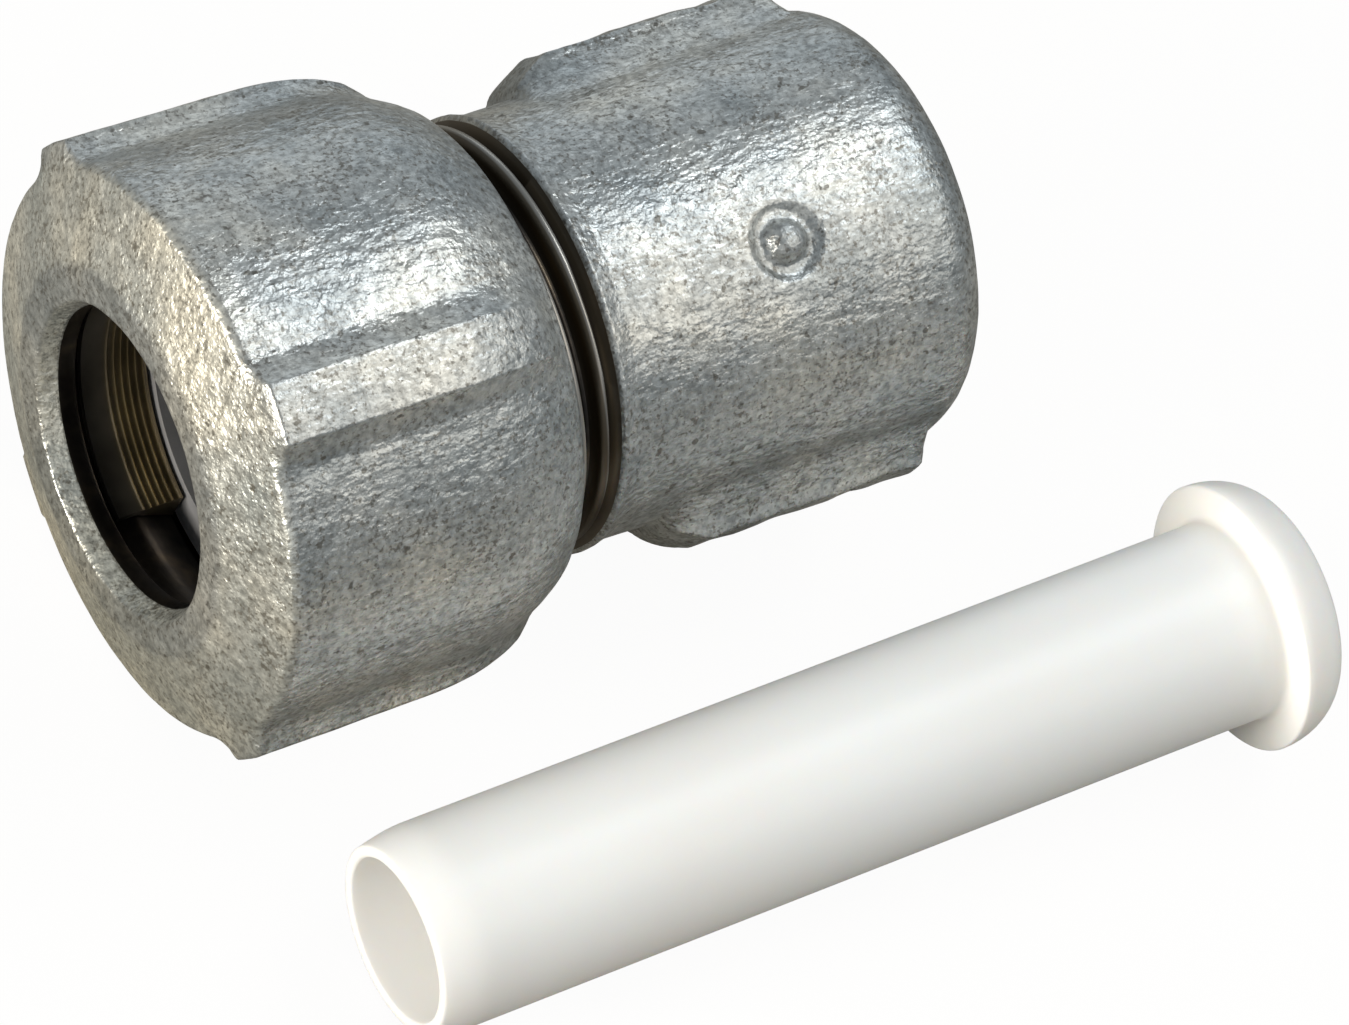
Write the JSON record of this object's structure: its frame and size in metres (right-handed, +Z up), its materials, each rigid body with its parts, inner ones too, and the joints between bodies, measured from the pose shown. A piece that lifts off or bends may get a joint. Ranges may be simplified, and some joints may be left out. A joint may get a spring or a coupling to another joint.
{
  "type": "pipe adapter",
  "caption": "Compression adapter that joins a plastic pipe to a male pipe thread, with a cap nut, clamping ring, seal and a loose plastic pipe insert.",
  "frame": {"origin": "on the fitting's axis, where the full bore of the female thread starts, 1.2 mm in from the end face", "axes": "+X along the fitting's axis, out of the female end; +Z up as the fitting lies on its cap nut"},
  "size_m": [0.0851, 0.0684, 0.0436],
  "materials": {
    "cast_zinc": "hot-dip galvanised casting, fine grain with dark specks",
    "clamp_metal": "dull turned brass, browned",
    "washer_metal": "plain stamped steel",
    "seal_rubber": "matt black rubber",
    "white_plastic": "satin white moulded plastic"
  },
  "bodies": {
    "fitting": {"body": "cast_zinc", "gasket": "seal_rubber", "pipe_insert": "white_plastic"},
    "rings": {"clamping_ring": "clamp_metal", "pressure_ring": "washer_metal"},
    "nut": {"cap_nut": "cast_zinc"}
  },
  "joints": [
    {"name": "nut_travel", "type": "slide", "parent": "fitting", "child": "rings", "axis": [-1, 0, 0], "range_m": [-0.00116, 0.01386]},
    {"name": "nut_turn", "type": "hinge", "parent": "rings", "child": "nut", "pos_m": [-0.05, 0, 0], "axis": [-1, 0, 0], "range_deg": [-180, 2160]}
  ],
  "couplings": [
    {"joint": "nut_travel", "follows": "nut_turn", "m_per_rad": 0.00036749}
  ]
}
